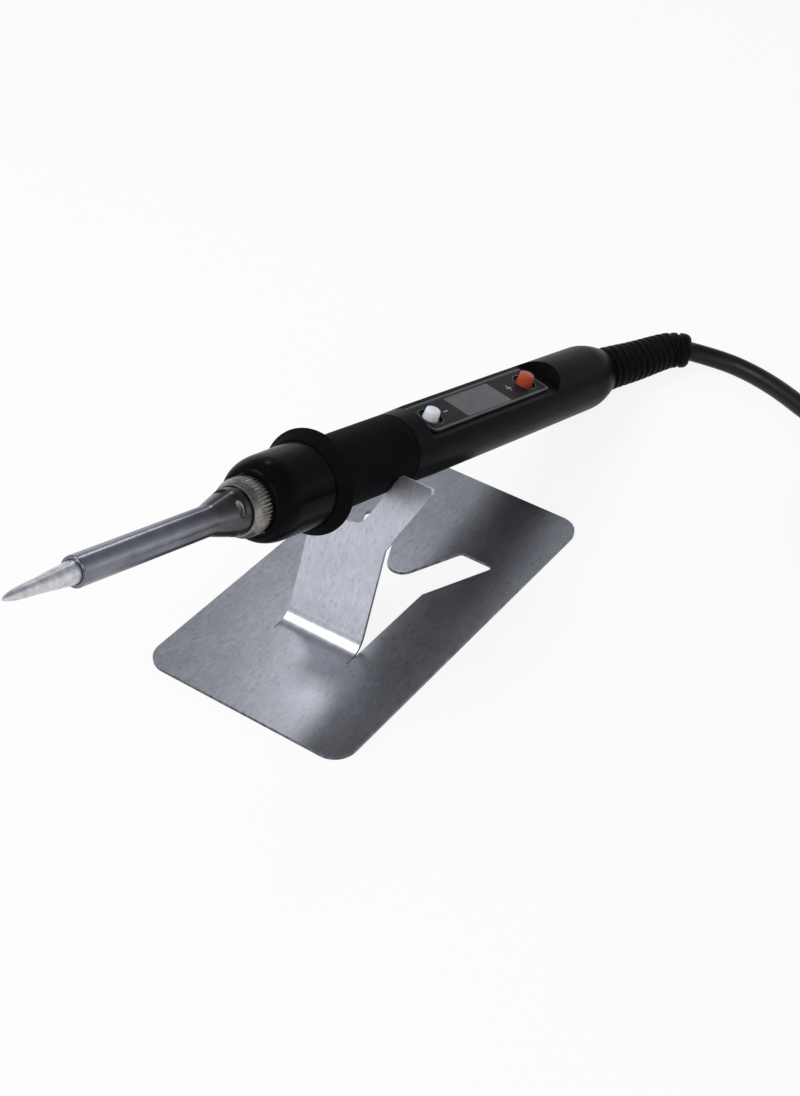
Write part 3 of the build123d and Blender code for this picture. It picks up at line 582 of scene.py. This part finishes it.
def tube_mesh(name, line, radii, sides=20):
    """Round tube along a line of points: a radius for each point and a flat cap at each end."""
    vertices = []
    faces = []
    tangent = (line[1] - line[0]).normalized()
    side = tangent.cross(Vector((0, 0, 1))).normalized()
    for index, point in enumerate(line):
        ahead = line[min(index + 1, len(line) - 1)]
        behind = line[max(index - 1, 0)]
        tangent = (ahead - behind).normalized()
        side = (side - tangent * side.dot(tangent)).normalized()
        up = tangent.cross(side)
        for step in range(sides):
            angle = 2 * math.pi * step / sides
            outward = side * math.cos(angle) + up * math.sin(angle)
            vertices.append(point + outward * radii[index])
    for ring in range(len(line) - 1):
        for step in range(sides):
            a = ring * sides + step
            b = ring * sides + (step + 1) % sides
            faces.append((a, b, b + sides, a + sides))
    faces.append(tuple(range(sides)))
    last = (len(line) - 1) * sides
    faces.append(tuple(last + step for step in reversed(range(sides))))
    mesh = bpy.data.meshes.new(name)
    mesh.from_pydata(vertices, [], faces)
    mesh.update()
    for polygon in mesh.polygons:
        polygon.use_smooth = len(polygon.vertices) == 4
    piece = bpy.data.objects.new(name, mesh)
    bpy.context.scene.collection.objects.link(piece)
    return piece


# ---------------------------------------------------------------- strain relief

# Control points of its middle line, which starts inside the handle, and its sizes in mm: radii,
# the plain cuff at its root, the rounded end, and the grooves between its ribs. A groove's depth
# is a share of the radius; its width and the slope of its sides are shares of a rib's pitch.
RELIEF_EXIT = iron(0, HANDLE_END, 0)
RELIEF_ROUTE = [
    RELIEF_EXIT + Vector((-2.3, -4.7, -0.12)) * MM,
    RELIEF_EXIT + Vector((1.9, 3.9, 0.1)) * MM,
    RELIEF_EXIT + Vector((6.0, 12.8, -0.7)) * MM,
    Vector((0.0097, 0.1409, 0.0063)),
    Vector((0.0122, 0.1462, 0.0059)),
    Vector((0.0170, 0.1489, 0.0055)),
]
RELIEF_ROOT_RADIUS = 7.0
RELIEF_END_RADIUS = 5.35
RELIEF_CUFF = 3.0
RELIEF_RIBS = 13
RELIEF_DOME = 2.2
RELIEF_TIP_RADIUS = 3.5
RELIEF_GROOVE_DEPTH = 0.10
RELIEF_GROOVE_SHARE = 0.42
RELIEF_GROOVE_SIDE = 0.16
RELIEF_STEP = 0.2
RELIEF_SIDES = 56
RELIEF_GAP = 0.05
RELIEF_EDGE_ANGLE = 50.0


def relief_radius(along, length):
    """Radius at that distance from the handle's end, all in mm."""
    share = min(max(along / length, 0.0), 1.0)
    radius = RELIEF_ROOT_RADIUS + (RELIEF_END_RADIUS - RELIEF_ROOT_RADIUS) * share
    ribbed = length - RELIEF_CUFF - RELIEF_DOME
    if RELIEF_CUFF < along < length - RELIEF_DOME:
        phase = ((along - RELIEF_CUFF) / ribbed * RELIEF_RIBS) % 1.0
        groove_end = RELIEF_GROOVE_SHARE + RELIEF_GROOVE_SIDE
        falling = ease(phase, 0.0, RELIEF_GROOVE_SIDE)
        rising = ease(phase, RELIEF_GROOVE_SHARE, groove_end)
        radius *= 1 - RELIEF_GROOVE_DEPTH * (falling * (1 - rising))
    beyond = along - (length - RELIEF_DOME)
    if beyond > 0:
        rounding = math.sqrt(max(1 - (beyond / RELIEF_DOME) ** 2, 0.0))
        radius = RELIEF_TIP_RADIUS + (radius - RELIEF_TIP_RADIUS) * rounding
    return radius


def resampled(line, step):
    """Points at even distances along a line, each with its distance from the line's start."""
    places = [(line[0], 0.0)]
    gone = 0.0
    target = step
    for a, b in zip(line, line[1:]):
        run = (b - a).length
        while run > 0 and target <= gone + run:
            places.append((a.lerp(b, (target - gone) / run), target))
            target += step
        gone += run
    return places


def add_relief(materials):
    """Ribbed sleeve along the cord's first bend, cut flat where it leaves the handle."""
    line = centre_line(RELIEF_ROUTE)
    places = resampled(line, RELIEF_STEP * MM)
    start = (RELIEF_EXIT - line[0]).length
    length = (places[-1][1] - start) / MM
    radii = [relief_radius((gone - start) / MM, length) * MM for _, gone in places]
    piece = tube_mesh("relief_sleeve", [place for place, _ in places], radii, RELIEF_SIDES)
    piece.data.materials.append(materials["relief_black"].material)
    cut = bmesh.new()
    cut.from_mesh(piece.data)
    found = bmesh.ops.bisect_plane(
        cut,
        geom=cut.verts[:] + cut.edges[:] + cut.faces[:],
        plane_co=RELIEF_EXIT + AXIS * RELIEF_GAP * MM,
        plane_no=AXIS,
        clear_inner=True,
    )
    rim = [item for item in found["geom_cut"] if isinstance(item, bmesh.types.BMEdge)]
    bmesh.ops.contextual_create(cut, geom=rim)
    bmesh.ops.recalc_face_normals(cut, faces=cut.faces[:])
    cut.to_mesh(piece.data)
    cut.free()
    hard_edges(piece, RELIEF_EDGE_ANGLE)
    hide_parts("strain_relief")
    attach(piece, "iron")
    return piece


def add_cord(materials, relief):
    """One smooth tube from the strain relief to the plug."""
    line = centre_line([*CORD_LEAD, *coil_points(), *CORD_TAIL])
    cord = tube_mesh("mains_cord", line, [CORD_DIAMETER / 2] * len(line))
    cord.data.materials.append(materials["cord_black"].material)
    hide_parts("cord_lead", "cord_coil", "cord_tail")
    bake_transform(cord)


# ---------------------------------------------------------------- print on the panel's film

# In mm. The print stands PRINT_HEIGHT over the film's top and reaches PRINT_DEPTH into it.
FILM_TOP = 6.95
FILM_ENDS = (153.35, 214.05)
FILM_HALF_WIDTH = 5.05
FILM_CORNER = 0.9
PRINT_HEIGHT = 0.03
PRINT_DEPTH = 0.02
LINE_WIDTH = 0.18
BUTTON_STATIONS = (158.5, 208.95)
BUTTON_HOLE = 3.5
RING_GAP = 0.08
SIGN_WIDTH = 0.34
MINUS_STATION = 166.0
MINUS_LENGTH = 2.1
MINUS_CORNER = 0.1
PLUS_STATION = 200.0
PLUS_LENGTH = 2.5


def circle(station, radius, steps=64):
    """Loop of (x, station) round a place on the panel's middle line."""
    angles = [2 * math.pi * step / steps for step in range(steps)]
    return [(radius * math.cos(a), station + radius * math.sin(a)) for a in angles]


def rounded_rectangle(half_width, first, last, radius, steps=6):
    """Loop of (x, station) from the first station to the last, with rounded corners."""
    loop = []
    corners = ((1, last, 0), (-1, last, 90), (-1, first, 180), (1, first, 270))
    for side, end, begin in corners:
        along = end - radius if end == last else end + radius
        for step in range(steps + 1):
            angle = math.radians(begin + 90 * step / steps)
            x = side * (half_width - radius) + radius * math.cos(angle)
            loop.append((x, along + radius * math.sin(angle)))
    return loop


def plus_outline(station, length, width):
    """Loop of (x, station) round a plus sign."""
    far, near = length / 2, width / 2
    quarter = [(far, -near), (far, near), (near, near)]
    loop = []
    for turn in range(4):
        cos, sin = ((1, 0), (0, 1), (-1, 0), (0, -1))[turn]
        loop += [(x * cos - y * sin, station + x * sin + y * cos) for x, y in quarter]
    return loop


def film_print(name, shapes, material):
    """Thin raised print on the film; each shape is an outer loop, and an inner one or None."""
    vertices = []
    faces = []
    levels = (FILM_TOP - PRINT_DEPTH, FILM_TOP + PRINT_HEIGHT)

    def add_loop(loop):
        """Adds the loop at both levels; gives the index of its first point at each."""
        starts = []
        for height in levels:
            starts.append(len(vertices))
            vertices.extend(iron(x, station, height) for x, station in loop)
        return starts

    for outer, inner in shapes:
        count = len(outer)
        low, high = add_loop(outer)
        steps = [(step, (step + 1) % count) for step in range(count)]
        faces += [(low + a, low + b, high + b, high + a) for a, b in steps]
        if inner is None:
            faces.append(tuple(high + step for step in range(count)))
            faces.append(tuple(low + step for step in reversed(range(count))))
            continue
        inner_low, inner_high = add_loop(inner)
        faces += [(inner_low + b, inner_low + a, inner_high + a, inner_high + b) for a, b in steps]
        faces += [(high + a, high + b, inner_high + b, inner_high + a) for a, b in steps]
        faces += [(low + b, low + a, inner_low + a, inner_low + b) for a, b in steps]
    mesh = bpy.data.meshes.new(name)
    mesh.from_pydata(vertices, [], faces)
    mesh.update()
    mesh.materials.append(material.material)
    piece = bpy.data.objects.new(name, mesh)
    bpy.context.scene.collection.objects.link(piece)
    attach(piece, "iron")


def add_print(materials):
    """Line round the film and a ring round each button's hole, grey print that also serves as painted highlight on
    the bezel's edge and the holes' rims, and the minus and plus signs.
    """
    first, last = FILM_ENDS
    outer = rounded_rectangle(FILM_HALF_WIDTH, first, last, FILM_CORNER)
    inner = rounded_rectangle(
        FILM_HALF_WIDTH - LINE_WIDTH,
        first + LINE_WIDTH,
        last - LINE_WIDTH,
        FILM_CORNER - LINE_WIDTH,
    )
    # The line round the film and the rings round the holes are print, and also a painted highlight for the light
    # caught by the bezel's edge and the holes' rims.
    lines = [(outer, inner)]
    ring = BUTTON_HOLE + RING_GAP
    for station in BUTTON_STATIONS:
        lines.append((circle(station, ring + LINE_WIDTH), circle(station, ring)))
    film_print("panel_lines_and_edge_highlight", lines, materials["print_grey"])
    half = MINUS_LENGTH / 2
    ends = (MINUS_STATION - half, MINUS_STATION + half)
    minus = rounded_rectangle(SIGN_WIDTH / 2, *ends, MINUS_CORNER)
    plus = plus_outline(PLUS_STATION, PLUS_LENGTH, SIGN_WIDTH)
    film_print("panel_signs", [(minus, None), (plus, None)], materials["sign_grey"])


# ---------------------------------------------------------------- studio

# The floor: half its side and its drop below the plate in metres, and the share of plain white.
FLOOR_HALF = 4.0
FLOOR_DROP = 0.0002
FLOOR_WHITE = 0.88

# Room brightness against the height of the direction it comes from (0 horizon, 1 straight up),
# and its faint blue.
SKY = ((0.0, 1.6), (0.2, 0.9), (0.5, 0.41), (0.68, 0.31), (1.0, 0.26))
SKY_TINT = (0.985, 1.0, 1.05)

# Name, place, point it aims at, size, watts and colour of each lamp.
MIDDLE = (0.03, 0.0, 0.03)
LAMPS = (
    (
        "back_softbox",
        (-0.104, 0.127, 0.214),
        (0.014, -0.041, 0.0),
        (0.03, 0.03),
        0.032,
        (0.97, 0.98, 1.0),
    ),
    ("left_softbox", (-0.60, -0.60, 1.05), MIDDLE, (0.45, 0.45), 9.0, (1.0, 0.99, 0.97)),
    ("front_softbox", (0.25, -1.1, 0.85), MIDDLE, (0.5, 0.5), 3.5, (0.98, 0.99, 1.0)),
)


def background_rays(tree, share):
    """That share for camera, glossy and transmission rays, and 0 for all others."""
    path = tree.nodes.new("ShaderNodeLightPath")
    total = path.outputs["Is Camera Ray"]
    for name in ("Is Glossy Ray", "Is Transmission Ray"):
        larger = tree.nodes.new("ShaderNodeMath")
        larger.operation = "MAXIMUM"
        tree.links.new(total, larger.inputs[0])
        tree.links.new(path.outputs[name], larger.inputs[1])
        total = larger.outputs[0]
    weight = tree.nodes.new("ShaderNodeMath")
    weight.operation = "MULTIPLY"
    tree.links.new(total, weight.inputs[0])
    weight.inputs[1].default_value = share
    return weight.outputs[0]


def add_floor():
    """White floor: FLOOR_WHITE of what eye and mirrors see is plain white, and the rest is lit,
    which keeps the object's shadow."""
    mesh = bpy.data.meshes.new("floor")
    corners = [(-1, -1), (1, -1), (1, 1), (-1, 1)]
    vertices = [(FLOOR_HALF * x, FLOOR_HALF * y, -FLOOR_DROP) for x, y in corners]
    mesh.from_pydata(vertices, [], [(0, 1, 2, 3)])
    floor = bpy.data.objects.new("floor", mesh)
    bpy.context.scene.collection.objects.link(floor)
    m = Material("floor_white", (0.90, 0.90, 0.905), 0.9, 0.0, Specular_IOR_Level=0.0)
    grain = m.noise(300.0, 2.0, 0.5)
    m.color(m.ramp(grain, (0.3, (0.895, 0.895, 0.90)), (0.7, (0.905, 0.905, 0.91))))
    white = m.node("ShaderNodeEmission")
    white.inputs["Color"].default_value = (1, 1, 1, 1)
    white.inputs["Strength"].default_value = 1.0
    shown = m.node("ShaderNodeMixShader")
    m.join(background_rays(m.tree, FLOOR_WHITE), shown.inputs[0])
    m.join(m.shader.outputs[0], shown.inputs[1])
    m.join(white.outputs[0], shown.inputs[2])
    m.join(shown.outputs[0], m.tree.nodes["Material Output"].inputs["Surface"])
    mesh.materials.append(m.material)


def add_world():
    """Bright horizon under a dimmer ceiling."""
    world = bpy.data.worlds.new("studio")
    bpy.context.scene.world = world
    world.use_nodes = True
    tree = world.node_tree
    light = tree.nodes["Background"]
    light.inputs["Strength"].default_value = 1.0
    direction = tree.nodes.new("ShaderNodeTexCoord")
    split = tree.nodes.new("ShaderNodeSeparateXYZ")
    tree.links.new(direction.outputs["Generated"], split.inputs[0])
    ramp = tree.nodes.new("ShaderNodeValToRGB")
    set_stops(ramp, [(height, [grey * tint for tint in SKY_TINT]) for height, grey in SKY])
    tree.links.new(split.outputs["Z"], ramp.inputs[0])
    tree.links.new(ramp.outputs[0], light.inputs["Color"])


def area_light(name, place, target, size, watts, color):
    """Rectangular lamp that aims at a point."""
    data = bpy.data.lights.new(name, "AREA")
    data.shape = "RECTANGLE"
    data.size = size[0]
    data.size_y = size[1]
    data.energy = watts
    data.color = color
    lamp = bpy.data.objects.new(name, data)
    lamp.location = place
    aim = Vector(target) - Vector(place)
    lamp.rotation_euler = aim.to_track_quat("-Z", "Y").to_euler()
    bpy.context.scene.collection.objects.link(lamp)


def add_studio():
    """Floor, room light and lamps, shown as plain sRGB."""
    add_floor()
    add_world()
    for lamp in LAMPS:
        area_light(*lamp)
    bpy.context.scene.view_settings.view_transform = "Standard"


# ---------------------------------------------------------------- build

add_camera()
add_studio()
MATERIALS = make_materials()
dress_nodes(MATERIALS)
add_cord(MATERIALS, add_relief(MATERIALS))
add_print(MATERIALS)
finish_edges()
